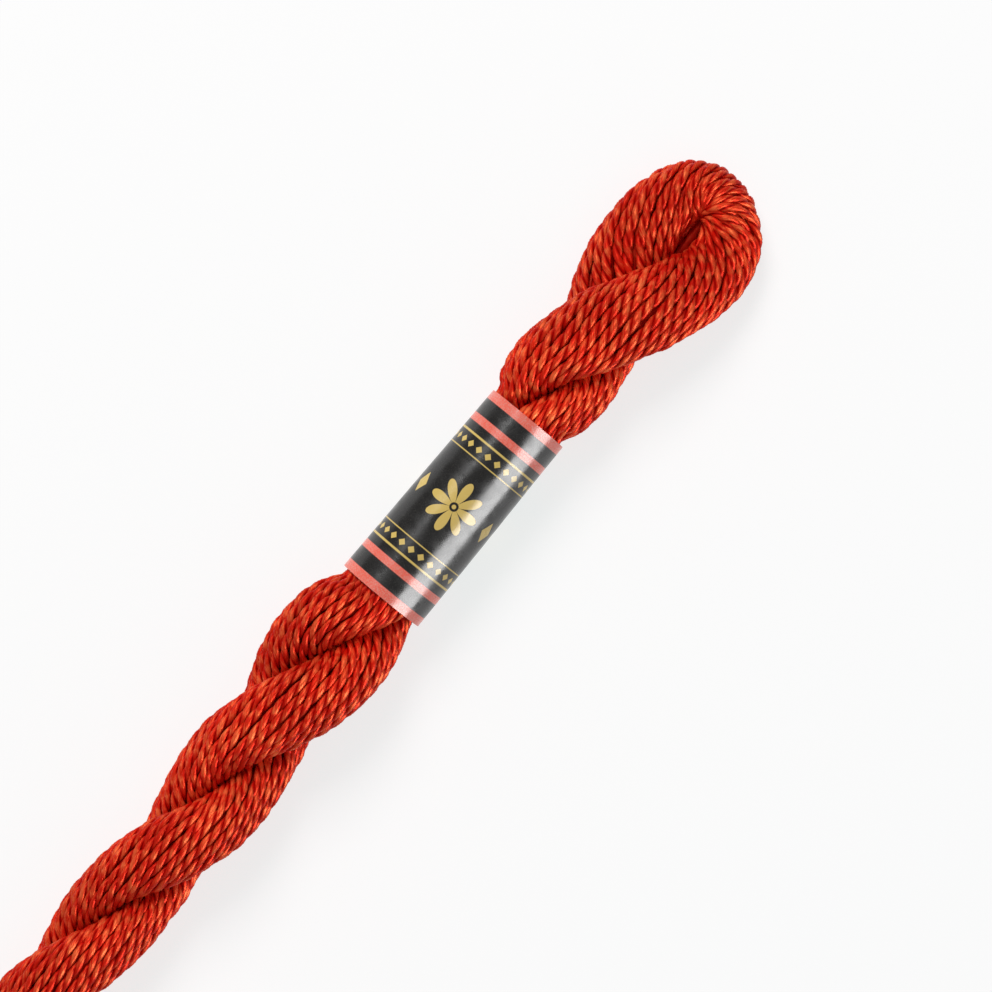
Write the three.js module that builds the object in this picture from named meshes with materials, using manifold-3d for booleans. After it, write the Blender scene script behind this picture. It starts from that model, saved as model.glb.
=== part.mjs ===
// Skein of pearl cotton with its paper band, in millimetres.
// The skein lies along X on the plane z = 0, and the band sits towards its +X end.
// The origin is under the middle of the skein, on the surface that it rests on.

import * as THREE from 'three';
import { mergeVertices } from 'three/addons/utils/BufferGeometryUtils.js';
import Module from 'manifold-3d';

// Twist: two legs wind round each other, right-handed, and cross once every half pitch.
const HALF_PITCH = 16.8;
const CROSSINGS_EACH_SIDE = 5;
const LAST_CROSSING = HALF_PITCH * CROSSINGS_EACH_SIDE;
const TWIST_RATE = Math.PI / HALF_PITCH;

// Thickness of the twisted part, a row for each place along the skein.
// reach is from the axis to the outside of a leg, flank is half a leg's width across the reach,
// side and height are where the skein's axis lies, off the straight line and over the surface.
const SKEIN_ROWS = [
  { x: -84.0, reach: 5.2, flank: 4.4, side: 0.0, height: 4.9 },
  { x: -70.0, reach: 5.2, flank: 3.7, side: -0.1, height: 4.9 },
  { x: -40.0, reach: 5.0, flank: 3.6, side: 0.3, height: 4.7 },
  { x: -15.0, reach: 4.9, flank: 3.5, side: 0.0, height: 4.6 },
  { x: 7.0, reach: 5.0, flank: 3.5, side: 0.4, height: 4.7 },
  { x: 21.0, reach: 5.4, flank: 3.6, side: -0.1, height: 5.1 },
  { x: 29.0, reach: 5.6, flank: 3.7, side: 0.4, height: 5.3 },
  { x: 43.0, reach: 6.35, flank: 4.0, side: 0.55, height: 5.7 },
  { x: 50.5, reach: 4.6, flank: 3.5, side: 0.1, height: 5.4 },
  { x: 70.5, reach: 4.3, flank: 3.3, side: 0.1, height: 5.15 },
  { x: 78.0, reach: 5.8, flank: 4.2, side: 0.2, height: 5.15 },
  { x: 84.0, reach: 5.2, flank: 4.4, side: 0.0, height: 4.9 },
];

// Legs run into each other by this much along the axis, so that they join into one body.
const LEG_OVERLAP = 0.3;

// Loop end: a leg runs over the end and comes back as the other leg.
// The centre line is half of a figure of eight, from the last crossing to the tip and back.
// LOOP_SKEW moves its widest place towards the crossing, LOOP_LEAN moves both its sides one way.
// LOOP_PATH is how long its path counts, from the crossing to the tip.
// The path comes down to LOOP_HEIGHT and the yarn turns level within these shares of the path.
const LOOP_REACH = 17.5;
const LOOP_HALF_WIDTH = 3.95;
const LOOP_SKEW = 0.15;
const LOOP_LEAN = 0.75;
const LOOP_PATH = 21;
const LOOP_HEIGHT = 2.75;
const SETTLE_SHARE = 0.28;
const TURN_SHARE = 0.3;

// Half thickness of the yarn bundle round the loop end: across is level, tall is upright.
const LOOP_ROWS = [
  { t: 0, across: 4.4, tall: 2.75 },
  { t: 0.25, across: 3.9, tall: 2.65 },
  { t: 0.5, across: 3.05, tall: 2.85 },
];

// The two legs meet at the tip and run into each other by this share of LOOP_PATH.
const TIP_OVERLAP = 0.012;

// Inner yarns that close the loop end's hole down to a dimple.
const HOLE_FILL = { x: 94.5, y: -0.4, along: 7.5, across: 1.6, tall: 2.0, sides: 12, rings: 8 };

// Faces of a leg: round it, and along it.
const LEG_SIDES = 14;
const LEG_STEPS = 104;

// Inner yarns that fill the bottom of the groove between the legs, up to just past the last crossings.
// CORE_SHARE is their radius as a share of the skein's reach there.
const CORE_SHARE = 0.47;
const CORE_END = 3.4;
const CORE_SIDES = 10;
const CORE_STEPS = 60;

// Paper band: a short sleeve, a little narrower at its outer end.
const BAND_START = 49.3;
const BAND_LENGTH = 23.0;
const BAND_RADIUS_START = 4.88;
const BAND_RADIUS_END = 4.58;
const BAND_WALL = 0.5;
const BAND_AXIS_SIDE = 0.1;
const BAND_AXIS_HEIGHT = 5.2;
const BAND_SIDES = 48;
const GAP = 0.3;

// Extra size of the cutting shapes, past the skein on every side.
const CUT_MARGIN = 10;

// Points closer than this are one point, and a path's direction is taken over twice DIRECTION_STEP.
const MERGE_DISTANCE = 1e-5;
const DIRECTION_STEP = 0.05;

const UP = new THREE.Vector3(0, 0, 1);

// A smooth step from 0 to 1.
function ease(share) {
  const s = THREE.MathUtils.clamp(share, 0, 1);
  return s * s * (3 - 2 * s);
}

// A named column of a table at a place between its rows.
function rowValue(rows, key, at, column) {
  const next = rows.findIndex((row) => row[key] >= at);
  if (next === 0) return rows[0][column];
  if (next < 0) return rows[rows.length - 1][column];
  const before = rows[next - 1];
  const after = rows[next];
  const share = (at - before[key]) / (after[key] - before[key]);
  return THREE.MathUtils.lerp(before[column], after[column], ease(share));
}

function skeinValue(x, column) {
  return rowValue(SKEIN_ROWS, 'x', x, column);
}

// Centre of a leg in the twisted part. startAngle is its angle round the axis at the last crossing.
function legCentre(x, startAngle) {
  const angle = startAngle + TWIST_RATE * (x - LAST_CROSSING);
  const radius = (skeinValue(x, 'reach') - LEG_OVERLAP) / 2;
  const side = skeinValue(x, 'side');
  const height = skeinValue(x, 'height');
  return new THREE.Vector3(x, side + radius * Math.cos(angle), height + radius * Math.sin(angle));
}

// Centre line of the +X loop end. t is 0 at the upper leg, 0.5 at the tip and 1 at the lower leg.
function loopCentre(t) {
  const top = legCentre(LAST_CROSSING, Math.PI / 2).z;
  const bottom = legCentre(LAST_CROSSING, -Math.PI / 2).z;
  const settled = t < 0.5 ? ease(t / SETTLE_SHARE) : ease((1 - t) / SETTLE_SHARE);
  const from = t < 0.5 ? top : bottom;
  const x = LAST_CROSSING + LOOP_REACH * Math.sin(Math.PI * t);
  const wave = Math.sin(2 * Math.PI * t);
  const swing = wave * (1 + LOOP_SKEW * Math.cos(2 * Math.PI * t));
  const y = -LOOP_HALF_WIDTH * swing - LOOP_LEAN * wave ** 2;
  return new THREE.Vector3(x, y, THREE.MathUtils.lerp(from, LOOP_HEIGHT, settled));
}

// How far the leg's outer side has turned from straight up to level, as an angle.
function loopRoll(t) {
  const share = Math.min(Math.min(t, 1 - t) / TURN_SHARE, 1);
  const roll = (Math.PI / 2) * (1 - (1 - share) ** 2);
  return t < 0.5 ? roll : Math.PI - roll;
}

// A place on one leg, measured along it from the middle of the skein towards +X.
// upper is true for the leg that lies on top at both last crossings.
function legPlace(along, upper) {
  const side = Math.sign(along) || 1;
  const past = Math.abs(along) - LAST_CROSSING;
  if (past <= 0) {
    const startAngle = upper ? Math.PI / 2 : -Math.PI / 2;
    const centre = legCentre(along, startAngle);
    const angle = startAngle + TWIST_RATE * (along - LAST_CROSSING);
    return { centre, roll: angle - Math.PI / 2, side: 1, past };
  }
  const share = past / (2 * LOOP_PATH);
  const t = upper ? share : 1 - share;
  const centre = loopCentre(t);
  if (side < 0) centre.set(-centre.x, -centre.y, centre.z);
  return { centre, roll: loopRoll(t), side, past, t };
}

// The directions of a leg's section: out is away from the skein's axis, over is square to it.
// rise and level are the upright and the level direction of the same section.
function legDirections(along, upper) {
  const before = legPlace(along - DIRECTION_STEP, upper).centre;
  const after = legPlace(along + DIRECTION_STEP, upper).centre;
  const place = legPlace(along, upper);
  // Past a crossing the loop end is followed from its upper leg to its lower leg.
  const forward = after.clone().sub(before).normalize();
  const walk = forward.clone().multiplyScalar(place.past > 0 ? (upper ? 1 : -1) * place.side : 1);
  const rise = UP.clone().addScaledVector(walk, -UP.dot(walk)).normalize();
  const level = new THREE.Vector3().crossVectors(walk, rise);
  const out = rise.clone().multiplyScalar(Math.cos(place.roll)).addScaledVector(level, Math.sin(place.roll));
  const over = new THREE.Vector3().crossVectors(out, forward);
  return { place, rise, level, out, over };
}

// How far a point of the section lies from the leg's centre. outShare and overShare are its place on
// a unit circle. A loop end is flattened level, and the twisted part is flattened towards the axis.
function sectionOffset(directions, along, outShare, overShare) {
  const { place, rise, level, out, over } = directions;
  const round = out.clone().multiplyScalar(outShare).addScaledVector(over, overShare);
  if (place.past <= 0) {
    const outHalf = (skeinValue(along, 'reach') + LEG_OVERLAP) / 2;
    const overHalf = skeinValue(along, 'flank');
    return out.clone().multiplyScalar(outShare * outHalf).addScaledVector(over, overShare * overHalf);
  }
  const near = Math.min(place.t, 1 - place.t);
  const across = rowValue(LOOP_ROWS, 't', near, 'across');
  const tall = rowValue(LOOP_ROWS, 't', near, 'tall');
  const offset = level.clone().multiplyScalar(across * round.dot(level));
  return offset.addScaledVector(rise, tall * round.dot(rise));
}

// One leg from tip to tip: a cylinder whose points are moved onto the leg's path.
function legGeometry(upper) {
  const geometry = new THREE.CylinderGeometry(1, 1, 1, LEG_SIDES, LEG_STEPS);
  const half = LAST_CROSSING + LOOP_PATH * (1 + TIP_OVERLAP);
  const points = geometry.getAttribute('position');
  const point = new THREE.Vector3();
  for (let i = 0; i < points.count; i += 1) {
    point.fromBufferAttribute(points, i);
    const along = 2 * half * point.y;
    const directions = legDirections(along, upper);
    const moved = sectionOffset(directions, along, point.x, point.z).add(directions.place.centre);
    points.setXYZ(i, moved.x, moved.y, moved.z);
  }
  return geometry;
}

// The inner yarns along the skein's axis.
function coreGeometry() {
  const length = 2 * (LAST_CROSSING + CORE_END);
  const geometry = new THREE.CylinderGeometry(1, 1, length, CORE_SIDES, CORE_STEPS);
  geometry.rotateZ(-Math.PI / 2);
  const points = geometry.getAttribute('position');
  for (let i = 0; i < points.count; i += 1) {
    const x = points.getX(i);
    const radius = CORE_SHARE * skeinValue(x, 'reach');
    const side = skeinValue(x, 'side');
    const height = skeinValue(x, 'height');
    points.setXYZ(i, x, side + radius * points.getY(i), height + radius * points.getZ(i));
  }
  return geometry;
}

// The yarns inside the +X loop end, half way up.
function holeFillGeometry() {
  const geometry = new THREE.SphereGeometry(1, HOLE_FILL.sides, HOLE_FILL.rings);
  geometry.scale(HOLE_FILL.along, HOLE_FILL.across, HOLE_FILL.tall);
  return geometry.translate(HOLE_FILL.x, HOLE_FILL.y, LOOP_HEIGHT);
}

// Sleeve from the band's sizes, grown by a clearance on its inside, outside and ends.
function sleeveGeometry(clearance, outerExtra) {
  const inner = -BAND_WALL - clearance;
  const outer = clearance + outerExtra;
  const profile = [
    new THREE.Vector2(BAND_RADIUS_START + inner, -clearance),
    new THREE.Vector2(BAND_RADIUS_START + outer, -clearance),
    new THREE.Vector2(BAND_RADIUS_END + outer, BAND_LENGTH + clearance),
    new THREE.Vector2(BAND_RADIUS_END + inner, BAND_LENGTH + clearance),
  ];
  profile.push(profile[0].clone());
  const geometry = new THREE.LatheGeometry(profile, BAND_SIDES);
  geometry.rotateZ(-Math.PI / 2);
  geometry.translate(BAND_START, BAND_AXIS_SIDE, BAND_AXIS_HEIGHT);
  return geometry;
}

// Everything below the surface.
function floorCutGeometry() {
  const length = 2 * (LAST_CROSSING + LOOP_PATH + CUT_MARGIN);
  const geometry = new THREE.BoxGeometry(length, 4 * CUT_MARGIN, CUT_MARGIN);
  geometry.translate(0, 0, -CUT_MARGIN / 2);
  return geometry;
}

const wasm = await Module();
wasm.setup();

// A closed solid from a geometry's points and faces, and a geometry from a solid.
function toSolid(geometry) {
  const bare = geometry.clone();
  bare.deleteAttribute('normal');
  bare.deleteAttribute('uv');
  const merged = mergeVertices(bare, MERGE_DISTANCE);
  return new wasm.Manifold(new wasm.Mesh({
    numProp: 3,
    vertProperties: new Float32Array(merged.getAttribute('position').array),
    triVerts: new Uint32Array(merged.getIndex().array),
  }));
}

function toGeometry(solid) {
  const mesh = solid.getMesh();
  const geometry = new THREE.BufferGeometry();
  geometry.setAttribute('position', new THREE.BufferAttribute(mesh.vertProperties, 3));
  geometry.setIndex(new THREE.BufferAttribute(mesh.triVerts, 1));
  return geometry;
}

// The wound skein: both legs joined, narrowed under the band and flat where it rests.
function skein() {
  const legs = toSolid(legGeometry(true)).add(toSolid(legGeometry(false)));
  const nearFill = toSolid(holeFillGeometry());
  const farFill = toSolid(holeFillGeometry().rotateZ(Math.PI));
  const filled = legs.add(toSolid(coreGeometry())).add(nearFill).add(farFill);
  const clearOfBand = filled.subtract(toSolid(sleeveGeometry(GAP, CUT_MARGIN)));
  const geometry = toGeometry(clearOfBand.subtract(toSolid(floorCutGeometry())));
  const material = new THREE.MeshStandardMaterial({ color: 0xcb3a17, roughness: 0.55, metalness: 0 });
  const mesh = new THREE.Mesh(geometry, material);
  mesh.name = 'skein';
  return mesh;
}

// The paper band that holds the skein together.
function paperBand() {
  const geometry = toGeometry(toSolid(sleeveGeometry(0, 0)));
  const material = new THREE.MeshStandardMaterial({ color: 0x2a2725, roughness: 0.3, metalness: 0 });
  const mesh = new THREE.Mesh(geometry, material);
  mesh.name = 'paper_band';
  return mesh;
}

const group = new THREE.Group();
group.add(skein());
group.add(paperBand());

export default group;
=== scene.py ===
"""Skein of pearl cotton: two-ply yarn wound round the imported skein, and its printed paper band."""

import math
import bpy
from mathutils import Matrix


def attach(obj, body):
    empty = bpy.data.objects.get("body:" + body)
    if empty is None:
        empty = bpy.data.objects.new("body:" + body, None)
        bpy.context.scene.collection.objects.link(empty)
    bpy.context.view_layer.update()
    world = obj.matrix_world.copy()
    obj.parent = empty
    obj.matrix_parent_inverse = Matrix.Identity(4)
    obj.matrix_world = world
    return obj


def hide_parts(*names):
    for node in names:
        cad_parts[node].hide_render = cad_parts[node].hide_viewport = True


bl_info = {
    "name": "Skein of Pearl Cotton",
    "version": (1, 0, 0),
    "blender": (4, 5, 0),
    "location": "View3D > Sidebar > Skein",
    "description": "Winds a skein of two-ply cotton yarn and wraps its paper band",
    "category": "Add Mesh",
}

import bmesh
import bpy
import numpy as np
from bpy.props import FloatProperty, FloatVectorProperty, IntProperty, PointerProperty
from mathutils import Matrix, Vector, noise

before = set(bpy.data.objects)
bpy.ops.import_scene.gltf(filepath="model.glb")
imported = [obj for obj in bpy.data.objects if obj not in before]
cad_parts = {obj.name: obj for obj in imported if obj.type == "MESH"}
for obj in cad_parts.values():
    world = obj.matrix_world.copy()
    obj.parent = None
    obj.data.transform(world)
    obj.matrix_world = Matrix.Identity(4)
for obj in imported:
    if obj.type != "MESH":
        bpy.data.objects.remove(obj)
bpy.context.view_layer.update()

MM = 0.001
BODY = "root"

# The skein's winding, in millimetres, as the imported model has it.
# Two legs lie round each other and cross once every half pitch.
HALF_PITCH = 16.8
LAST_CROSSING = 84.0
TWIST_RATE = math.pi / HALF_PITCH
LEG_OVERLAP = 0.3

# Each row is a place along the skein, then the reach from the axis to the outside of a leg,
# half a leg's width across the reach, and where the axis lies: off the straight line and in height.
SKEIN_ROWS = (
    (-84.0, 5.2, 4.4, 0.0, 4.9),
    (-70.0, 5.2, 3.7, -0.1, 4.9),
    (-40.0, 5.0, 3.6, 0.3, 4.7),
    (-15.0, 4.9, 3.5, 0.0, 4.6),
    (7.0, 5.0, 3.5, 0.4, 4.7),
    (21.0, 5.4, 3.6, -0.1, 5.1),
    (29.0, 5.6, 3.7, 0.4, 5.3),
    (43.0, 6.35, 4.0, 0.55, 5.7),
    (50.5, 4.6, 3.5, 0.1, 5.4),
    (70.5, 4.3, 3.3, 0.1, 5.15),
    (78.0, 5.8, 4.2, 0.2, 5.15),
    (84.0, 5.2, 4.4, 0.0, 4.9),
)

# The loop end: half of a figure of eight from the last crossing to the tip and back.
LOOP_REACH = 17.5
LOOP_HALF_WIDTH = 3.95
LOOP_SKEW = 0.15
LOOP_LEAN = 0.75
LOOP_HEIGHT = 2.75
SETTLE_SHARE = 0.28

# Each row is a share of the way round the loop end, then half the bundle's width and height.
LOOP_ROWS = (
    (0.0, 4.4, 2.75),
    (0.25, 3.9, 2.65),
    (0.5, 3.05, 2.85),
)

# Places taken along a leg and along a loop end, and how far the winding's changes are eased.
LEG_STATIONS = 660
LOOP_STATIONS = 190
EASE_STATIONS = 13

# How the yarns turn round their bundle, in degrees for each millimetre along it.
# At the tip of a loop end they turn faster, within TIP_SPREAD millimetres of it.
LAY_IN_LEG = 6.6
LAY_IN_LOOP = 8.0
LAY_AT_TIP = 50.0
TIP_SPREAD = 2.8

# Every second outer yarn sinks under its neighbours near the tip, where they crowd together.
# It lies deepest within SINK_NEAR of the tip, give or take SINK_VARIES. How much, comes from a wave
# that moves on by SINK_WAVE radians from yarn to yarn.
SINK_NEAR = 3.2
SINK_VARIES = 0.9
SINK_WAVE = 2.4
SINK_LENGTH = 3.0
SINK_DEPTH = 0.6

# How a yarn wanders from its even course: how finely, how far round and how far in and out.
WANDER_SCALE = 0.22
WANDER_TURN = 0.1
WANDER_LIFT = 2.2

# Where in the noise each next yarn is read, and where its second reading is taken.
WANDER_YARN = (13.7, 5.3, 0.0)
WANDER_ASIDE = (0.0, 31.4, 8.6)

# Edges that turn more than this are creases, as between two plies.
SHARP_ANGLE = math.radians(70)

# The outer yarns lie this far inside the bundle's outline, and are shared out over this many pieces.
OUTER_INSET = 0.5
YARN_PIECES = 6

# How many points the outline of one ply has.
PLY_POINTS = 6

# The room in which a yarn has its full width, in millimetres, and the thinnest and fullest shares.
FULL_ROOM = 1.05
FULL_RANGE = (0.84, 1.3)

# Clearances from the surface below and from the inside of the band, for a yarn's centre.
FLOOR_CLEAR = 0.58
FLOOR_SOFT = 0.15
BAND_CLEAR = 0.85

# The small eye of a loop end: its place, its half sizes with a yarn's, and how far its push goes.
EYE_PLACE = 97.2
EYE_SIDE = -0.8
EYE_LENGTH = 1.3
EYE_WIDTH = 0.85
EYE_REACH = 2.6

# The layer of plain yarns below the outer ones: its share of the way out, how far inside the outline it
# is measured from, its yarns' radius and sides, the steps along them and the length of one turn.
# Its wander is read with seeds from INNER_FIRST_SEED on, and INNER_SHADE its share of deep colour as
# painted shade.
INNER_DEPTH = 0.7
INNER_INSET = 0.7
INNER_RADIUS = 0.68
INNER_SIDES = 6
INNER_STEP = 1.2
INNER_TURN = 12.0
INNER_FIRST_SEED = 50
INNER_SHADE = 0.85

# Short inner yarns that close the hole of each loop end, as level ovals. Each has a height and half a
# width, and all have the same place and half a length.
HEART_PLACE = 94.8
HEART_SIDE = -0.45
HEART_REACH = 5.6
HEART_OVALS = ((1.0, 0.5), (1.8, 0.5), (1.4, 1.25))
HEART_POINTS = 40

# About the length of one yarn, in metres. Its map runs once along it.
YARN_MAP_LENGTH = 0.4545

# How fine the yarn's noises are: its fibres, along a ply and round it, small patches and wide ones.
FIBRE_SCALE = (0.35, 26.0)
PATCH_SCALE = 900.0
WIDE_SCALE = 150.0

# The groove gets painted shade and the crest painted highlights; wide patches are deeper dye.
# How the colour follows them, and a ply's form, which is 0 in its groove and 1 on its crest.
# Each range has the two ends that are read and the two that they become, 0 and 1 where none are given.
# GROOVE_SHADE fades the painted shade in the groove between the two plies into the yarn's colour.
GROOVE_SHADE = (0.0, 0.45)
# LIGHT_CREST and LIGHT_TONE give a painted highlight along a ply's crest, showing in patches of paler
# dye.
LIGHT_CREST = (0.15, 0.85)
LIGHT_TONE = (0.43, 0.6, 0.08, 0.95)
# BRIGHT_CREST and BRIGHT_TONE place flecks of painted highlight on a ply's crest.
BRIGHT_CREST = (0.2, 0.9)
BRIGHT_TONE = (0.52, 0.64, 0.0, 0.5)
DEEP_PATCHES = (0.6, 0.4, 0.0, 0.3)
FIBRE_ROUGHNESS = (0.3, 0.7, 0.48, 0.34)
SHEEN_TINT = (1.0, 0.5, 0.25, 1.0)

# The paper band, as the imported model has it.
BAND_START = 49.3
BAND_LENGTH = 23.0
BAND_RADIUS_START = 4.88
BAND_RADIUS_END = 4.58
BAND_SIDE = 0.1
BAND_HEIGHT = 5.2

# How far outside the band the yarns begin to be drawn in, and over what length.
DRAWN_IN_FROM = 2.2
DRAWN_IN_OVER = 2.0

# The paper strip: how far it is wound, where it starts, and its faces round and along.
WRAP_ANGLE = math.radians(392)
WRAP_START = math.radians(-112)
WRAP_STEPS = 140
BAND_STEPS = 40

# The strip's start lies under its end by this many thicknesses. It bulges and dips a little.
WRAP_SINK = 1.3
PAPER_BULGE = 0.03
PAPER_DIP = 0.05
PAPER_DIP_ALONG = 0.12
PAPER_DIP_ROUND = 1.4

# The print near each edge of the band: two thin lines with a row of small lozenges between them.
# The first line starts this far past the inner stripe, and the rest is measured from its start.
FIRST_LINE = 0.9
FIRST_LINE_WIDTH = 0.22
SECOND_LINE = 1.9
SECOND_LINE_WIDTH = 0.12
BEAD_PLACE = 1.06
BEAD_REACH = 0.42
BEADS = 24

# The print's middle: a row of stars, each with a ring round a dot, and a lozenge between each two.
STARS = 3
STAR_RADIUS = 2.9
PETALS = 8
PETAL_FULLNESS = 0.6
RING_RADIUS = 0.48
DOT_RADIUS = 0.23
LOZENGE_REACH = 1.22
LOZENGE_SHAPE = 1.6

# Half the width over which a printed edge fades: of a stripe, and of a star or a lozenge.
STRIPE_FADE = 0.04
MOTIF_FADE = 0.03

# How fine the paper's creases and specks are, and how they show, as ranges like the yarn's.
CREASE_SCALE = 700.0
SPECK_SCALE = 9000.0
STRIPE_SPECKS = (0.42, 0.7, 0.0, 0.32)
GROUND_SPECKS = (0.45, 0.8, 0.0, 0.04)
PAPER_ROUGHNESS = (0.3, 0.7, 0.2, 0.32)

# Where the camera looks, how it is turned, and its lens and sensor in millimetres.
CAMERA_TARGET = Vector((64.3, -2.41, 5.0)) * MM
CAMERA_TURN = math.radians(-50.31)
CAMERA_LENS = 180.0
CAMERA_SENSOR = 36.0

# Each light's direction from the camera's target, its distance and its two sizes, in metres.
KEY_LIGHT = ((0.325, 0.553, 0.766), 1.1, (0.5, 0.5))
SIDE_LIGHT = ((0.0, -0.86, 0.52), 0.5, (0.3, 0.42))

# Half the floor's width, in metres, how fine its faint patches are, and their share of its colour.
FLOOR_REACH = 3.0
FLOOR_SCALE = 3.0
FLOOR_DARKER = 0.99


class YarnSettings(bpy.types.PropertyGroup):
    """Sizes and colours of the yarn."""

    ply_width: FloatProperty(
        name="Ply Width",
        description="Width of one of the yarn's two flattened plies",
        default=0.8 * MM, min=0.1 * MM, unit="LENGTH", subtype="DISTANCE", precision=5,
    )
    ply_depth: FloatProperty(
        name="Ply Depth",
        description="Thickness of a flattened ply, measured through both plies",
        default=0.62 * MM, min=0.1 * MM, unit="LENGTH", subtype="DISTANCE", precision=5,
    )
    ply_spread: FloatProperty(
        name="Ply Spread",
        description="Distance between the middles of the two plies",
        default=0.46 * MM, min=0.0, unit="LENGTH", subtype="DISTANCE", precision=5,
    )
    ply_pitch: FloatProperty(
        name="Ply Pitch",
        description="Length of yarn in which the plies go once round each other",
        default=3.7 * MM, min=1.0 * MM, unit="LENGTH", subtype="DISTANCE", precision=5,
    )
    step: FloatProperty(
        name="Step",
        description="Distance between the rings of faces along an outer yarn",
        default=0.3 * MM, min=0.1 * MM, unit="LENGTH", subtype="DISTANCE", precision=5,
    )
    outer_count: IntProperty(
        name="Outer Yarns",
        description="Yarns side by side round the outside of a leg",
        default=18, min=6, max=40,
    )
    inner_count: IntProperty(
        name="Inner Yarns",
        description="Yarns in the layer below the outer ones",
        default=12, min=3, max=30,
    )
    unevenness: FloatProperty(
        name="Unevenness",
        description="How far a yarn wanders in and out of its layer",
        default=0.1 * MM, min=0.0, unit="LENGTH", subtype="DISTANCE", precision=5,
    )
    color: FloatVectorProperty(
        name="Yarn",
        description="Colour of the dyed cotton",
        default=(0.7, 0.003, 0.0015), min=0.0, max=1.0, subtype="COLOR",
    )
    # Painted highlight on the crests of the plies, in patches of paler dye.
    pale_dye_and_highlight_color: FloatVectorProperty(
        name="Light Yarn",
        description="Colour where the cotton took less dye",
        default=(1.0, 0.13, 0.04), min=0.0, max=1.0, subtype="COLOR",
    )
    # Painted highlight: pale flecks on the crest of a ply.
    highlight_fleck_color: FloatVectorProperty(
        name="Bright Fibres",
        description="Colour of the palest fibres on top of a ply",
        default=(1.0, 0.24, 0.075), min=0.0, max=1.0, subtype="COLOR",
    )
    # Painted shade in the grooves between the plies and on the lower yarns, and deeper dye in wide
    # patches.
    deep_dye_and_shade_color: FloatVectorProperty(
        name="Deep Yarn",
        description="Colour where the cotton took more dye",
        default=(0.36, 0.001, 0.001), min=0.0, max=1.0, subtype="COLOR",
    )


class BandSettings(bpy.types.PropertyGroup):
    """Sizes and colours of the paper band."""

    thickness: FloatProperty(
        name="Paper",
        description="Thickness of the paper",
        default=0.13 * MM, min=0.02 * MM, unit="LENGTH", subtype="DISTANCE", precision=5,
    )
    edge_stripe: FloatProperty(
        name="Edge Stripe",
        description="Width of the coloured stripe at each edge",
        default=1.0 * MM, min=0.0, unit="LENGTH", subtype="DISTANCE", precision=5,
    )
    gap: FloatProperty(
        name="Dark Gap",
        description="Width of the dark ground between the two coloured stripes",
        default=1.75 * MM, min=0.0, unit="LENGTH", subtype="DISTANCE", precision=5,
    )
    inner_stripe: FloatProperty(
        name="Inner Stripe",
        description="Width of the second coloured stripe",
        default=0.85 * MM, min=0.0, unit="LENGTH", subtype="DISTANCE", precision=5,
    )
    ground_color: FloatVectorProperty(
        name="Ground",
        description="Colour of the band's dark ground",
        default=(0.006, 0.005, 0.0045), min=0.0, max=1.0, subtype="COLOR",
    )
    stripe_color: FloatVectorProperty(
        name="Stripes",
        description="Colour of the stripes",
        default=(0.95, 0.14, 0.088), min=0.0, max=1.0, subtype="COLOR",
    )
    gold_color: FloatVectorProperty(
        name="Ornament",
        description="Colour of the printed lines and ornament",
        default=(0.76, 0.54, 0.14), min=0.0, max=1.0, subtype="COLOR",
    )
    paper_color: FloatVectorProperty(
        name="Bare Paper",
        description="Colour of the paper's unprinted back and cut edges",
        default=(0.72, 0.68, 0.6), min=0.0, max=1.0, subtype="COLOR",
    )


class StageSettings(bpy.types.PropertyGroup):
    """Floor, light and camera."""

    floor_color: FloatVectorProperty(
        name="Floor",
        description="Colour of the floor",
        default=(0.34, 0.29, 0.29), min=0.0, max=1.0, subtype="COLOR",
    )
    floor_glow: FloatProperty(
        name="Floor Glow",
        description="Light of its own that the floor gives, as a lit table does",
        default=0.75, min=0.0,
    )
    glow_color: FloatVectorProperty(
        name="Glow Colour",
        description="Colour of the floor's own light",
        default=(0.95, 1.0, 1.0), min=0.0, max=1.0, subtype="COLOR",
    )
    sky: FloatProperty(
        name="Surrounding Light",
        description="Strength of the even light from all round",
        default=0.32, min=0.0,
    )
    key: FloatProperty(
        name="Key Light",
        description="Power of the soft light at the upper left, as the camera sees it",
        default=7.0, min=0.0, unit="POWER",
    )
    fill: FloatProperty(
        name="Side Light",
        description="Power of the light at the lower right, which shows only as gloss",
        default=5.0, min=0.0, unit="POWER",
    )
    view_width: FloatProperty(
        name="View Width",
        description="Width of the camera's view at the skein",
        default=99.2 * MM, min=10 * MM, unit="LENGTH", subtype="DISTANCE", precision=5,
    )


def ease(share):
    """A smooth step from 0 to 1."""
    s = min(max(share, 0.0), 1.0)
    return s * s * (3.0 - 2.0 * s)


def smooth(shares):
    """The same step for an array of shares."""
    s = np.clip(shares, 0.0, 1.0)
    return s * s * (3.0 - 2.0 * s)


def mix(a, b, share):
    return a + (b - a) * share


def row_values(rows, at):
    """The values of a table's rows at a place between them, eased from row to row."""
    if at <= rows[0][0]:
        return rows[0][1:]
    for before, after in zip(rows, rows[1:]):
        if at <= after[0]:
            share = ease((at - before[0]) / (after[0] - before[0]))
            return tuple(mix(a, b, share) for a, b in zip(before[1:], after[1:]))
    return rows[-1][1:]


def leg_place(x, upper):
    """Centre, outward angle and half sizes of a leg at a place along the skein."""
    reach, flank, side, height = row_values(SKEIN_ROWS, x)
    turn = TWIST_RATE * (x - LAST_CROSSING)
    angle = turn + (math.pi / 2 if upper else -math.pi / 2)
    radius = (reach - LEG_OVERLAP) / 2
    centre = (x, side + radius * math.cos(angle), height + radius * math.sin(angle))
    return centre, (turn if upper else -turn), (reach + LEG_OVERLAP) / 2, flank


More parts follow.
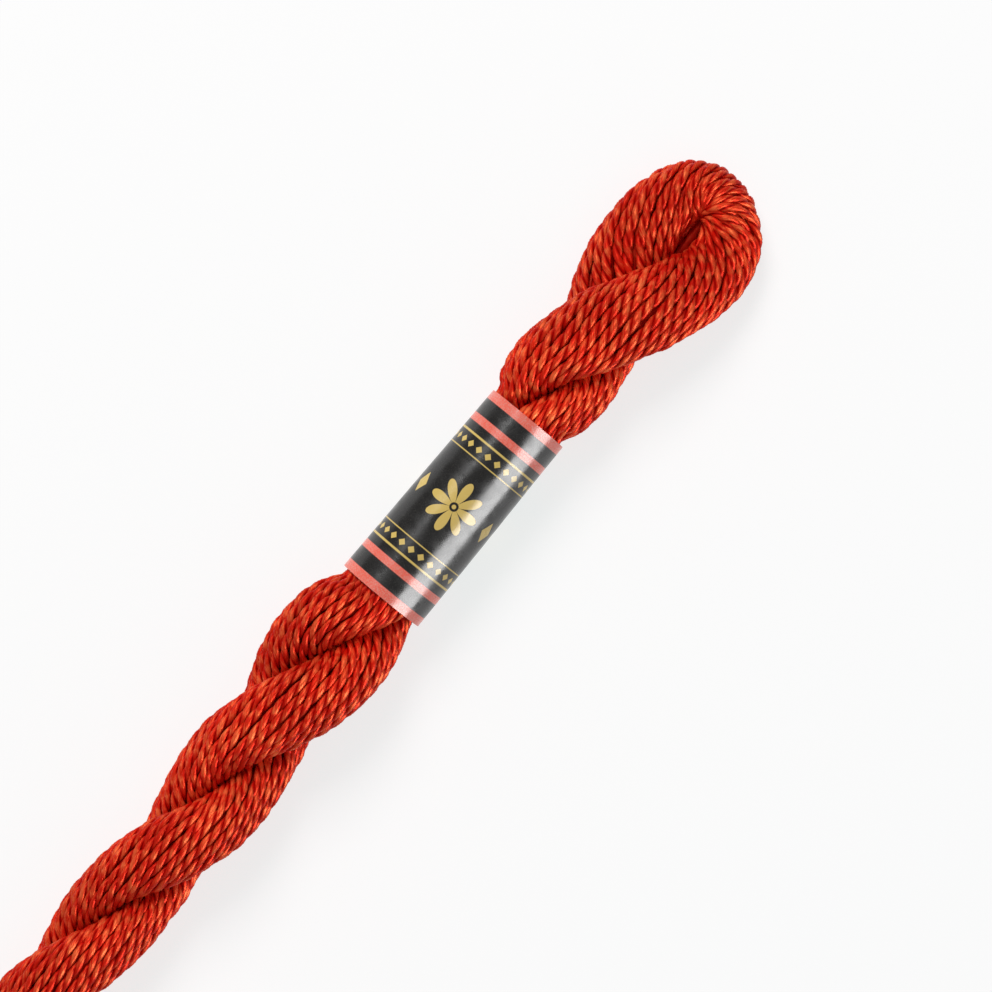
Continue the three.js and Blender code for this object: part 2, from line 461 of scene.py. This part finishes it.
def loop_place(t, far_end):
    """Centre, outward angle and half sizes of a loop end. t is 0 at its upper leg, 1 at its lower."""
    near = min(t, 1.0 - t)
    start = leg_place(LAST_CROSSING, t < 0.5)[0][2]
    height = mix(start, LOOP_HEIGHT, ease(near / SETTLE_SHARE))
    wave = math.sin(2 * math.pi * t)
    swing = wave * (1 + LOOP_SKEW * math.cos(2 * math.pi * t))
    x = LAST_CROSSING + LOOP_REACH * math.sin(math.pi * t)
    y = -LOOP_HALF_WIDTH * swing - LOOP_LEAN * wave ** 2
    across, tall = row_values(LOOP_ROWS, near)
    sign = -1.0 if far_end else 1.0
    return (sign * x, sign * y, height), 0.0, tall, across


def eased(values, lap):
    """Values on the closed path, averaged over their neighbours. lap is what one round adds."""
    n = EASE_STATIONS
    wrapped = np.concatenate([values[-n:] - lap, values, values[:n] + lap])
    weights = np.hanning(2 * n + 3)[1:-1]
    weights /= weights.sum()
    if values.ndim == 1:
        return np.convolve(wrapped, weights, mode="valid")
    return np.stack([np.convolve(c, weights, mode="valid") for c in wrapped.T], axis=1)


class Winding:
    """The closed path of the yarn bundle: one leg, a loop end, the other leg and a loop end."""

    def __init__(self):
        places = []
        for i in range(LEG_STATIONS):
            x = mix(-LAST_CROSSING, LAST_CROSSING, i / LEG_STATIONS)
            places.append(leg_place(x, True))
        for i in range(LOOP_STATIONS):
            places.append(loop_place(i / LOOP_STATIONS, False))
        for i in range(LEG_STATIONS):
            x = mix(LAST_CROSSING, -LAST_CROSSING, i / LEG_STATIONS)
            places.append(leg_place(x, False))
        last_turn = 2 * TWIST_RATE * LAST_CROSSING
        for i in range(LOOP_STATIONS):
            centre, _, tall, across = loop_place(1 - i / LOOP_STATIONS, True)
            places.append((centre, last_turn, tall, across))
        self.centre = eased(np.array([p[0] for p in places]), 0.0)
        self.turn = eased(np.array([p[1] for p in places]), 2 * last_turn)
        self.out_half = eased(np.array([p[2] for p in places]), 0.0)
        self.over_half = eased(np.array([p[3] for p in places]), 0.0)
        self.count = len(places)
        self.set_directions()
        self.set_lay()

    def set_directions(self):
        walk = np.roll(self.centre, -1, axis=0) - np.roll(self.centre, 1, axis=0)
        walk /= np.linalg.norm(walk, axis=1)[:, None]
        up = np.array([0.0, 0.0, 1.0])
        rise = up - walk * walk[:, 2:]
        rise /= np.linalg.norm(rise, axis=1)[:, None]
        self.rise = rise
        self.level = np.cross(walk, rise)
        steps = np.linalg.norm(np.roll(self.centre, -1, axis=0) - self.centre, axis=1)
        self.length = steps.sum()
        self.along = np.concatenate([[0.0], np.cumsum(steps)[:-1]])
        self.steps = steps
        first_tip = LEG_STATIONS + LOOP_STATIONS // 2
        self.tips = (first_tip, first_tip + LEG_STATIONS + LOOP_STATIONS)

    def from_tip(self):
        """Distance along the path from the nearer loop tip, for every station."""
        gaps = []
        for tip in self.tips:
            gap = np.abs(self.along - self.along[tip])
            gaps.append(np.minimum(gap, self.length - gap))
        return np.minimum(*gaps)

    def set_lay(self):
        """How far the yarns have turned round the bundle, a whole number of turns in one round."""
        station = np.arange(self.count) % (LEG_STATIONS + LOOP_STATIONS)
        in_leg = eased((station < LEG_STATIONS).astype(float), 0.0)
        rate = LAY_IN_LOOP + (LAY_IN_LEG - LAY_IN_LOOP) * in_leg
        rate = rate + LAY_AT_TIP * np.exp(-((self.from_tip() / TIP_SPREAD) ** 2))
        total = (rate * self.steps).sum()
        missing = 360.0 * round(total / 360.0) - total
        rate = rate + missing * in_leg / (in_leg * self.steps).sum()
        turned = np.cumsum(rate * self.steps)
        self.lay = -np.radians(np.concatenate([[0.0], turned[:-1]]))

    def at(self, start_angle, depth, inset):
        """A yarn's points: start_angle is from upright towards level, depth a share of the way out."""
        angle = start_angle + self.lay
        phi = self.turn - angle
        out = (self.out_half - inset) * depth * np.cos(phi)
        over = (self.over_half - inset) * depth * np.sin(phi)
        up = out * np.cos(self.turn) + over * np.sin(self.turn)
        sideways = out * np.sin(self.turn) - over * np.cos(self.turn)
        return self.centre + self.rise * up[:, None] + self.level * sideways[:, None]


def sunk_depths(winding, number):
    """How much deeper than its neighbours a yarn lies at every station, in millimetres."""
    if number % 2 == 0:
        return np.zeros(winding.count)
    near = SINK_NEAR + SINK_VARIES * math.sin(SINK_WAVE * number)
    gaps = winding.from_tip()
    return np.array([SINK_DEPTH * ease((near + SINK_LENGTH - gap) / SINK_LENGTH) for gap in gaps])


def above_floor(points):
    """Points with their heights eased up to the clearance from the surface below."""
    over = points[:, 2] - FLOOR_CLEAR
    points[:, 2] = FLOOR_CLEAR + (over + np.sqrt(over * over + FLOOR_SOFT ** 2)) / 2
    return points


def inside_band(points):
    """Points drawn in to the band's inside where they pass through the band."""
    share = np.clip((points[:, 0] - BAND_START) / BAND_LENGTH, 0.0, 1.0)
    radius = BAND_RADIUS_START + (BAND_RADIUS_END - BAND_RADIUS_START) * share - BAND_CLEAR
    middle = BAND_START + BAND_LENGTH / 2
    outside = np.abs(points[:, 0] - middle) - BAND_LENGTH / 2
    gate = smooth((DRAWN_IN_FROM - outside) / DRAWN_IN_OVER)
    y = points[:, 1] - BAND_SIDE
    z = points[:, 2] - BAND_HEIGHT
    scale = np.minimum(radius / np.maximum(np.hypot(y, z), 1e-6), 1.0)
    scale = 1.0 + (scale - 1.0) * gate
    points[:, 1] = BAND_SIDE + y * scale
    points[:, 2] = BAND_HEIGHT + z * scale
    return points


def round_eye(points):
    """Points pushed aside where they would close the small eye of a loop end."""
    for side in (1.0, -1.0):
        dx = points[:, 0] - side * EYE_PLACE
        dy = points[:, 1] - side * EYE_SIDE
        distance = np.maximum(np.hypot(dx / EYE_LENGTH, dy / EYE_WIDTH), 1e-6)
        pushed = 1.0 + distance * (1.0 - 1.0 / EYE_REACH)
        scale = np.where(distance < EYE_REACH, pushed / distance, 1.0)
        points[:, 0] += dx * (scale - 1.0)
        points[:, 1] += dy * (scale - 1.0)
    return points


def settled(points):
    """A yarn's points as they come to lie: round the eyes, in the band and above the surface."""
    return above_floor(inside_band(round_eye(points)))


def yarn_points(winding, start_angle, depth, inset, unevenness, seed):
    """The points of one yarn round the whole path, in millimetres."""
    nominal = winding.at(start_angle, depth, inset)
    spots = [Vector(p) * WANDER_SCALE + Vector(WANDER_YARN) * seed for p in nominal]
    sway = WANDER_TURN * np.array([noise.noise(spot) for spot in spots])
    lift = np.array([noise.noise(spot + Vector(WANDER_ASIDE)) for spot in spots])
    lift *= unevenness * WANDER_LIFT
    return settled(winding.at(start_angle + sway, depth, inset - lift))


def fullness(winding, start_angle, inset, count, points):
    """How thick a yarn is at every station, as a share: its room between its neighbours."""
    beside = settled(winding.at(start_angle + math.pi / count, 1.0, inset))
    before = settled(winding.at(start_angle - math.pi / count, 1.0, inset))
    ahead = np.roll(points, -1, axis=0) - np.roll(points, 1, axis=0)
    ahead /= np.linalg.norm(ahead, axis=1)[:, None]
    room = np.linalg.norm(np.cross(beside - before, ahead), axis=1)
    return eased(np.clip(room / FULL_ROOM, *FULL_RANGE), 0.0)


def even_points(points, step):
    """Points at even distances along a closed line, as near to step apart as closes it.

    The columns after the first three are carried along.
    """
    closed = np.vstack([points, points[:1]])
    lengths = np.linalg.norm(np.diff(closed[:, :3], axis=0), axis=1)
    at = np.concatenate([[0.0], np.cumsum(lengths)])
    count = round(at[-1] / step)
    wanted = np.arange(count) * at[-1] / count
    spaced = [np.interp(wanted, at, column) for column in closed.T]
    return np.stack(spaced, axis=1), at[-1]


def profile_curve(name, points):
    """A flat closed line that a yarn's curve takes its thickness from."""
    curve = bpy.data.curves.new(name, "CURVE")
    curve.dimensions = "2D"
    spline = curve.splines.new("POLY")
    spline.points.add(len(points) - 1)
    for spot, (x, y) in zip(spline.points, points):
        spot.co = (x, y, 0.0, 1.0)
    spline.use_cyclic_u = True
    thing = bpy.data.objects.new(name, curve)
    bpy.context.scene.collection.objects.link(thing)
    return thing


def two_ply_profile(width, depth, spread, steps):
    """The outline of two flattened plies pressed together. It starts on the crest of a ply."""
    notch = math.pi - math.acos(spread / depth)
    points = []
    for side in (1, -1):
        for i in range(steps):
            angle = notch * (2 * i / steps - 1.0)
            x = side * (spread + depth * math.cos(angle)) / 2
            points.append((x, -side * width / 2 * math.sin(angle)))
    crest = steps // 2
    return points[crest:] + points[:crest]


def round_profile(radius, sides):
    return [
        (radius * math.cos(-2 * math.pi * i / sides), radius * math.sin(-2 * math.pi * i / sides))
        for i in range(sides)
    ]


def add_yarn(curve, points, length, pitch):
    """One closed yarn in a curve. Its plies turn left-handed, a whole number of times round."""
    spline = curve.splines.new("POLY")
    spline.points.add(len(points) - 1)
    turns = round(length / pitch)
    for i, (spot, point) in enumerate(zip(spline.points, points)):
        spot.co = (*(point[:3] * MM), 1.0)
        spot.radius = point[3]
        spot.tilt = -2 * math.pi * (turns * i / len(points) % 1.0)
    spline.use_cyclic_u = True
    spline.use_smooth = True


def curve_to_piece(name, curve, profile):
    """A mesh piece made from a curve and its profile, with faces that point outwards."""
    curve.dimensions = "3D"
    curve.twist_mode = "MINIMUM"
    curve.bevel_mode = "OBJECT"
    curve.bevel_object = profile
    source = bpy.data.objects.new(name + "_curve", curve)
    bpy.context.scene.collection.objects.link(source)
    bpy.context.view_layer.update()
    graph = bpy.context.evaluated_depsgraph_get()
    mesh = bpy.data.meshes.new_from_object(source.evaluated_get(graph))
    bpy.data.objects.remove(source)
    bpy.data.curves.remove(curve)
    mesh.name = name
    body = bmesh.new()
    body.from_mesh(mesh)
    if body.calc_volume(signed=True) < 0:
        bmesh.ops.reverse_faces(body, faces=body.faces)
    body.to_mesh(mesh)
    body.free()
    return finish_piece(name, mesh)


def finish_piece(name, mesh):
    """An object for a mesh, at the origin, that rides on the part's body."""
    mesh.shade_smooth()
    mesh.set_sharp_from_angle(angle=SHARP_ANGLE)
    piece = bpy.data.objects.new(name, mesh)
    bpy.context.scene.collection.objects.link(piece)
    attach(piece, BODY)
    return piece


class Nodes:
    """A short way to write a material's nodes."""

    def __init__(self, name):
        self.material = bpy.data.materials.new(name)
        self.material.use_nodes = True
        self.tree = self.material.node_tree
        self.shader = self.tree.nodes["Principled BSDF"]

    def put(self, socket, value):
        if isinstance(value, bpy.types.NodeSocket):
            self.tree.links.new(value, socket)
        else:
            socket.default_value = value

    def node(self, kind, output=0, inputs=(), **settings):
        made = self.tree.nodes.new(kind)
        for key, value in settings.items():
            setattr(made, key, value)
        for key, value in dict(inputs).items():
            self.put(made.inputs[key], value)
        return made.outputs[output]

    def math(self, operation, a, b=0.0):
        return self.node("ShaderNodeMath", inputs={0: a, 1: b}, operation=operation)

    def between(self, value, low, high, to_low=0.0, to_high=1.0):
        """value carried from one range to another, held at its ends and eased."""
        inputs = {"Value": value, "From Min": low, "From Max": high, "To Min": to_low, "To Max": to_high}
        return self.node("ShaderNodeMapRange", inputs=inputs, interpolation_type="SMOOTHSTEP")

    def blend(self, share, a, b):
        """Two colours mixed. They go into sockets 6 and 7 of a Mix node, and come out of socket 2."""
        made = self.tree.nodes.new("ShaderNodeMix")
        made.data_type = "RGBA"
        self.put(made.inputs["Factor"], share)
        self.put(made.inputs[6], a)
        self.put(made.inputs[7], b)
        return made.outputs[2]

    def grain(self, vector, scale, detail=2.0, roughness=0.5):
        inputs = {"Vector": vector, "Scale": scale, "Detail": detail, "Roughness": roughness}
        return self.node("ShaderNodeTexNoise", inputs=inputs)

    def vector(self, x, y, z=0.0):
        return self.node("ShaderNodeCombineXYZ", inputs={0: x, 1: y, 2: z})

    def split(self, vector):
        made = self.tree.nodes.new("ShaderNodeSeparateXYZ")
        self.put(made.inputs[0], vector)
        return made.outputs

    def finish(self, **values):
        for key, value in values.items():
            self.put(self.shader.inputs[key.replace("_", " ")], value)
        return self.material


def rgba(color):
    return (*color, 1.0)


def yarn_material(settings, name, shade):
    """Silky dyed cotton: fine fibres along each ply, uneven dye, a soft sheen, and painted shade and
    highlights.
    """
    nodes = Nodes(name)
    along, around = nodes.split(nodes.node("ShaderNodeUVMap", uv_map="UVMap"))[:2]
    place = nodes.node("ShaderNodeTexCoord", output="Object")
    length = nodes.math("MULTIPLY", along, YARN_MAP_LENGTH / MM)
    fibre = nodes.vector(
        nodes.math("MULTIPLY", length, FIBRE_SCALE[0]),
        nodes.math("MULTIPLY", around, FIBRE_SCALE[1]),
    )
    strands = nodes.grain(fibre, 1.0, detail=3.0, roughness=0.6)
    patches = nodes.grain(place, PATCH_SCALE)
    wide = nodes.grain(place, WIDE_SCALE, detail=1.0)
    tone = nodes.math("ADD", nodes.math("MULTIPLY", strands, 0.5), nodes.math("MULTIPLY", patches, 0.5))
    crest = nodes.math("ABSOLUTE", nodes.math("COSINE", nodes.math("MULTIPLY", around, 2 * math.pi)))
    # Painted highlight: a ply's crest turns paler where the tone noise is high, which also gives patches
    # of paler dye.
    light = nodes.math(
        "MULTIPLY", nodes.between(crest, *LIGHT_CREST), nodes.between(tone, *LIGHT_TONE))
    # Painted highlight: pale flecks where both the crest and the tone noise are high.
    bright = nodes.math(
        "MULTIPLY", nodes.between(crest, *BRIGHT_CREST), nodes.between(tone, *BRIGHT_TONE))
    deep_dye_and_shade_color = rgba(settings.deep_dye_and_shade_color)
    # Painted shade: the groove between the two plies takes the deep colour.
    base = nodes.blend(nodes.between(crest, *GROOVE_SHADE), deep_dye_and_shade_color, rgba(settings.color))
    base = nodes.blend(light, base, rgba(settings.pale_dye_and_highlight_color))
    base = nodes.blend(bright, base, rgba(settings.highlight_fleck_color))
    base = nodes.blend(nodes.between(wide, *DEEP_PATCHES), base, deep_dye_and_shade_color)
    # Painted shade: yarns that lie below the others are darkened towards the deep colour by this share.
    base = nodes.blend(shade, base, deep_dye_and_shade_color)
    bump = nodes.node(
        "ShaderNodeBump",
        inputs={"Strength": 0.35, "Distance": 0.05 * MM, "Height": strands},
    )
    return nodes.finish(
        Base_Color=base,
        Roughness=nodes.between(strands, *FIBRE_ROUGHNESS),
        Normal=bump,
        Metallic=0.22,
        Specular_IOR_Level=0.22,
        Specular_Tint=SHEEN_TINT,
    )


class SKEIN_OT_outer_yarns(bpy.types.Operator):
    """Wind the outer yarns of the skein"""

    bl_idname = "skein.outer_yarns"
    bl_label = "Wind Outer Yarns"

    def execute(self, context):
        settings = context.scene.skein_yarn
        winding = Winding()
        material = yarn_material(settings, "pearl_cotton", 0.0)
        profile = profile_curve(
            "two_ply_profile",
            two_ply_profile(settings.ply_width, settings.ply_depth, settings.ply_spread, PLY_POINTS),
        )
        count = settings.outer_count
        groups = [range(g, count, YARN_PIECES) for g in range(YARN_PIECES)]
        for number, group in enumerate(groups, start=1):
            curve = bpy.data.curves.new("outer_yarns", "CURVE")
            for i in group:
                start = 2 * math.pi * i / count
                insets = OUTER_INSET + sunk_depths(winding, i)
                line = yarn_points(winding, start, 1.0, insets, settings.unevenness / MM, i + 1)
                full = fullness(winding, start, OUTER_INSET, count, line)
                points, length = even_points(np.column_stack([line, full]), settings.step / MM)
                add_yarn(curve, points, length, settings.ply_pitch / MM)
            piece = curve_to_piece(f"outer_yarns_{number}", curve, profile)
            piece.data.materials.append(material)
            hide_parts("skein")
        bpy.data.objects.remove(profile)
        return {"FINISHED"}


def heart_points(side, height, half_width):
    """One oval of inner yarn in a loop end's hole. side is 1 at the +X end and -1 at the other."""
    points = []
    for i in range(HEART_POINTS):
        angle = 2 * math.pi * i / HEART_POINTS
        x = HEART_PLACE + HEART_REACH * math.cos(angle)
        y = HEART_SIDE + half_width * math.sin(angle)
        points.append((side * x, side * y, height))
    return np.array(points)


def add_inner(curve, line):
    full = np.ones(len(line))
    points, length = even_points(np.column_stack([line, full]), INNER_STEP)
    add_yarn(curve, points, length, INNER_TURN)


class SKEIN_OT_inner_yarns(bpy.types.Operator):
    """Wind the layer of yarns below the outer ones"""

    bl_idname = "skein.inner_yarns"
    bl_label = "Wind Inner Yarns"

    def execute(self, context):
        settings = context.scene.skein_yarn
        winding = Winding()
        # The inner yarns and the filling ovals take painted shade, INNER_SHADE of the deep colour.
        material = yarn_material(settings, "shaded_pearl_cotton", INNER_SHADE)
        profile = profile_curve("inner_profile", round_profile(INNER_RADIUS * MM, INNER_SIDES))
        curve = bpy.data.curves.new("inner_yarns", "CURVE")
        for i in range(settings.inner_count):
            start = 2 * math.pi * (i + 0.5) / settings.inner_count
            seed = INNER_FIRST_SEED + i
            line = yarn_points(winding, start, INNER_DEPTH, INNER_INSET, settings.unevenness / MM, seed)
            add_inner(curve, line)
        for side in (-1, 1):
            for height, half_width in HEART_OVALS:
                add_inner(curve, heart_points(side, height, half_width))
        piece = curve_to_piece("inner_yarns", curve, profile)
        piece.data.materials.append(material)
        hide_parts("skein")
        bpy.data.objects.remove(profile)
        return {"FINISHED"}


class SKEIN_OT_paper_band(bpy.types.Operator):
    """Wrap the printed paper band round the skein"""

    bl_idname = "skein.paper_band"
    bl_label = "Wrap Paper Band"

    def execute(self, context):
        settings = context.scene.skein_band
        mesh = paper_sheet(settings)
        piece = finish_piece("printed_band", mesh)
        piece.data.materials.append(print_material(settings))
        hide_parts("paper_band")
        return {"FINISHED"}


def paper_sheet(settings):
    """One strip of paper wound a little more than once round, its end lying over its start."""
    body = bmesh.new()
    last = None
    for i in range(BAND_STEPS + 1):
        vertex = body.verts.new((BAND_START + BAND_LENGTH * i / BAND_STEPS, 0.0, 1.0))
        if last:
            body.edges.new((last, vertex))
        last = vertex
    bmesh.ops.spin(
        body, geom=body.verts[:] + body.edges[:], cent=(0, 0, 0), axis=(1, 0, 0),
        dvec=(0, 0, 0), angle=WRAP_ANGLE, steps=WRAP_STEPS, use_merge=False, use_duplicate=False,
    )
    bmesh.ops.remove_doubles(body, verts=body.verts, dist=1e-6)
    place_paper(body, settings.thickness / MM)
    bmesh.ops.recalc_face_normals(body, faces=body.faces)
    outward_sheet(body)
    bmesh.ops.solidify(body, geom=body.faces[:], thickness=settings.thickness)
    mesh = bpy.data.meshes.new("printed_band")
    body.to_mesh(mesh)
    body.free()
    return mesh


def band_circumference():
    return math.pi * (BAND_RADIUS_START + BAND_RADIUS_END) * MM


def place_paper(body, thickness):
    """Moves the rolled strip onto the band's place and gives it its map, in metres round and along."""
    around = {}
    for index, vertex in enumerate(body.verts):
        around[vertex] = index // (BAND_STEPS + 1) / WRAP_STEPS
    layer = body.loops.layers.uv.new("UVMap")
    for vertex, share in around.items():
        x = vertex.co.x
        along = (x - BAND_START) / BAND_LENGTH
        angle = WRAP_START + WRAP_ANGLE * share
        radius = mix(BAND_RADIUS_START, BAND_RADIUS_END, along)
        radius -= (1.0 - share) * thickness * WRAP_SINK
        across, up = math.cos(angle), math.sin(angle)
        spot = Vector((x * PAPER_DIP_ALONG, PAPER_DIP_ROUND * across, PAPER_DIP_ROUND * up))
        radius += PAPER_BULGE - PAPER_DIP * (0.5 + 0.5 * noise.noise(spot))
        vertex.co = Vector((x, BAND_SIDE + radius * across, BAND_HEIGHT + radius * up)) * MM
    circumference = band_circumference()
    for face in body.faces:
        for loop in face.loops:
            share = around[loop.vert]
            u = share * WRAP_ANGLE / (2 * math.pi) * circumference
            v = loop.vert.co.x - BAND_START * MM
            loop[layer].uv = (u, v)


def outward_sheet(body):
    """Turns the sheet's faces so that they point away from the skein's axis."""
    face = next(iter(body.faces))
    centre = face.calc_center_median()
    outward = Vector((0.0, centre.y - BAND_SIDE * MM, centre.z - BAND_HEIGHT * MM))
    if face.normal.dot(outward) < 0:
        bmesh.ops.reverse_faces(body, faces=body.faces)


def print_material(settings):
    """Glossy printed paper: stripes, thin lines, lozenges and petal stars on a dark ground."""
    nodes = Nodes("printed_paper")
    around, along = nodes.split(nodes.node("ShaderNodeUVMap", uv_map="UVMap"))[:2]
    middle = BAND_LENGTH * MM / 2
    from_middle = nodes.math("ABSOLUTE", nodes.math("SUBTRACT", along, middle))
    to_edge = nodes.math("SUBTRACT", middle, from_middle)
    soft = STRIPE_FADE * MM

    def stripe(low, high):
        rise = nodes.between(to_edge, low - soft, low + soft)
        fall = nodes.between(to_edge, high + soft, high - soft)
        return nodes.math("MULTIPLY", rise, fall)

    edge = settings.edge_stripe
    second = edge + settings.gap
    striped = nodes.math(
        "MAXIMUM", stripe(-edge, edge), stripe(second, second + settings.inner_stripe))
    first = second + settings.inner_stripe + FIRST_LINE * MM
    beads = bead_row(nodes, around, to_edge, first + BEAD_PLACE * MM)
    gold = nodes.math("MAXIMUM", stripe(first, first + FIRST_LINE_WIDTH * MM), beads)
    last = first + SECOND_LINE * MM
    gold = nodes.math("MAXIMUM", gold, stripe(last, last + SECOND_LINE_WIDTH * MM))
    gold = nodes.math("MAXIMUM", gold, petal_row(nodes, around, along))
    place = nodes.node("ShaderNodeTexCoord", output="Object")
    mottle = nodes.grain(place, CREASE_SCALE, detail=3.0)
    fine = nodes.grain(place, SPECK_SCALE)
    paper = rgba(settings.paper_color)
    stripe_color = nodes.blend(
        nodes.between(fine, *STRIPE_SPECKS), rgba(settings.stripe_color), paper)
    base = nodes.blend(striped, rgba(settings.ground_color), stripe_color)
    base = nodes.blend(gold, base, rgba(settings.gold_color))
    base = nodes.blend(nodes.between(fine, *GROUND_SPECKS), base, paper)
    rough = nodes.between(mottle, *PAPER_ROUGHNESS)
    creases = nodes.math("ADD", mottle, nodes.math("MULTIPLY", fine, 0.12))
    bump = nodes.node(
        "ShaderNodeBump", inputs={"Strength": 0.16, "Distance": 0.12 * MM, "Height": creases})
    return nodes.finish(Base_Color=base, Roughness=rough, Normal=bump, Specular_IOR_Level=0.56)


def inside_of(nodes, distance, limit):
    """1 where a distance is under a limit in millimetres, fading to 0 at it."""
    return nodes.between(distance, (limit + MOTIF_FADE) * MM, (limit - MOTIF_FADE) * MM)


def bead_row(nodes, around, to_edge, place):
    """A row of small lozenges near each edge of the band."""
    circumference = band_circumference()
    beside = nodes.math("PINGPONG", around, circumference / (2 * BEADS))
    past = nodes.math("ABSOLUTE", nodes.math("SUBTRACT", to_edge, place))
    return inside_of(nodes, nodes.math("ADD", beside, past), BEAD_REACH)


def petal_row(nodes, around, along):
    """A row of petal stars with a lozenge between each two, round the band."""
    circumference = band_circumference()
    repeat = circumference / STARS
    top = circumference * (math.pi / 2 - WRAP_START) / (2 * math.pi)
    x = nodes.math("PINGPONG", nodes.math("SUBTRACT", around, top), repeat / 2)
    y = nodes.math("SUBTRACT", along, BAND_LENGTH * MM / 2)
    squares = nodes.math("ADD", nodes.math("MULTIPLY", x, x), nodes.math("MULTIPLY", y, y))
    radius = nodes.math("SQRT", squares)
    angle = nodes.math("ARCTAN2", y, x)
    petals = nodes.math("ABSOLUTE", nodes.math("COSINE", nodes.math("MULTIPLY", angle, PETALS / 2)))
    reach = nodes.math("MULTIPLY", nodes.math("POWER", petals, PETAL_FULLNESS), STAR_RADIUS * MM)
    star = inside_of(nodes, nodes.math("SUBTRACT", radius, reach), 0.0)
    ring = inside_of(nodes, radius, RING_RADIUS)
    star = nodes.math("MULTIPLY", star, nodes.math("SUBTRACT", 1.0, ring))
    star = nodes.math("MAXIMUM", star, inside_of(nodes, radius, DOT_RADIUS))
    far = nodes.math("SUBTRACT", repeat / 2, x)
    lozenge = nodes.math("ADD", nodes.math("MULTIPLY", far, LOZENGE_SHAPE), nodes.math("ABSOLUTE", y))
    return nodes.math("MAXIMUM", star, inside_of(nodes, lozenge, LOZENGE_REACH))


class SKEIN_OT_stage(bpy.types.Operator):
    """Set the floor, the light and the camera"""

    bl_idname = "skein.stage"
    bl_label = "Set Stage"

    def execute(self, context):
        settings = context.scene.skein_stage
        add_floor(settings)
        add_world(context.scene, settings)
        add_lights(settings)
        add_camera(context.scene, settings)
        context.scene.view_settings.view_transform = "Standard"
        return {"FINISHED"}


def add_floor(settings):
    body = bmesh.new()
    bmesh.ops.create_grid(body, x_segments=2, y_segments=2, size=FLOOR_REACH)
    mesh = bpy.data.meshes.new("floor")
    body.to_mesh(mesh)
    body.free()
    floor = bpy.data.objects.new("floor", mesh)
    bpy.context.scene.collection.objects.link(floor)
    nodes = Nodes("pale_floor")
    place = nodes.node("ShaderNodeTexCoord", output="Object")
    darker = rgba([c * FLOOR_DARKER for c in settings.floor_color])
    base = nodes.blend(nodes.grain(place, FLOOR_SCALE), rgba(settings.floor_color), darker)
    mesh.materials.append(nodes.finish(
        Base_Color=base,
        Roughness=0.9,
        Specular_IOR_Level=0.1,
        Emission_Color=rgba(settings.glow_color),
        Emission_Strength=settings.floor_glow,
    ))


def add_world(scene, settings):
    world = bpy.data.worlds.new("studio")
    world.use_nodes = True
    back = world.node_tree.nodes["Background"]
    back.inputs["Color"].default_value = (1.0, 1.0, 1.0, 1.0)
    back.inputs["Strength"].default_value = settings.sky
    scene.world = world


def add_area(name, direction, distance, size, power):
    """A soft light that faces the middle of the view."""
    light = bpy.data.lights.new(name, "AREA")
    light.shape = "RECTANGLE"
    light.size, light.size_y = size
    light.energy = power
    lamp = bpy.data.objects.new(name, light)
    away = Vector(direction).normalized()
    turned = away.to_track_quat("Z", "Y").to_matrix().to_4x4()
    lamp.matrix_world = Matrix.Translation(CAMERA_TARGET + away * distance) @ turned
    bpy.context.scene.collection.objects.link(lamp)
    return lamp


def add_lights(settings):
    add_area("key_light", *KEY_LIGHT, settings.key)
    side = add_area("side_light", *SIDE_LIGHT, settings.fill)
    side.visible_diffuse = False


def add_camera(scene, settings):
    camera = bpy.data.cameras.new("camera")
    camera.lens = CAMERA_LENS
    camera.sensor_width = CAMERA_SENSOR
    distance = CAMERA_LENS / CAMERA_SENSOR * settings.view_width
    holder = bpy.data.objects.new("camera", camera)
    lift = Matrix.Translation(CAMERA_TARGET + Vector((0.0, 0.0, distance)))
    holder.matrix_world = lift @ Matrix.Rotation(CAMERA_TURN, 4, "Z")
    scene.collection.objects.link(holder)
    scene.camera = holder


class SKEIN_PT_panel(bpy.types.Panel):
    """Lists the skein's sizes and colours, and what makes each group of pieces"""

    bl_label = "Skein of Pearl Cotton"
    bl_idname = "SKEIN_PT_panel"
    bl_space_type = "VIEW_3D"
    bl_region_type = "UI"
    bl_category = "Skein"

    def draw(self, context):
        layout = self.layout
        for group in ("skein_yarn", "skein_band", "skein_stage"):
            settings = getattr(context.scene, group)
            box = layout.box()
            for key in settings.bl_rna.properties.keys():
                if key not in ("rna_type", "name"):
                    box.prop(settings, key)
        for operator in OPERATORS:
            layout.operator(operator.bl_idname)


OPERATORS = (SKEIN_OT_outer_yarns, SKEIN_OT_inner_yarns, SKEIN_OT_paper_band, SKEIN_OT_stage)
SETTINGS = {
    "skein_yarn": YarnSettings,
    "skein_band": BandSettings,
    "skein_stage": StageSettings,
}


def register():
    for group in SETTINGS.values():
        bpy.utils.register_class(group)
    for operator in OPERATORS:
        bpy.utils.register_class(operator)
    bpy.utils.register_class(SKEIN_PT_panel)
    for name, group in SETTINGS.items():
        setattr(bpy.types.Scene, name, PointerProperty(type=group))


def unregister():
    for name in SETTINGS:
        delattr(bpy.types.Scene, name)
    bpy.utils.unregister_class(SKEIN_PT_panel)
    for operator in reversed(OPERATORS):
        bpy.utils.unregister_class(operator)
    for group in reversed(list(SETTINGS.values())):
        bpy.utils.unregister_class(group)


def main():
    register()
    bpy.ops.skein.stage()
    bpy.ops.skein.outer_yarns()
    bpy.ops.skein.inner_yarns()
    bpy.ops.skein.paper_band()


if __name__ == "__main__":
    main()
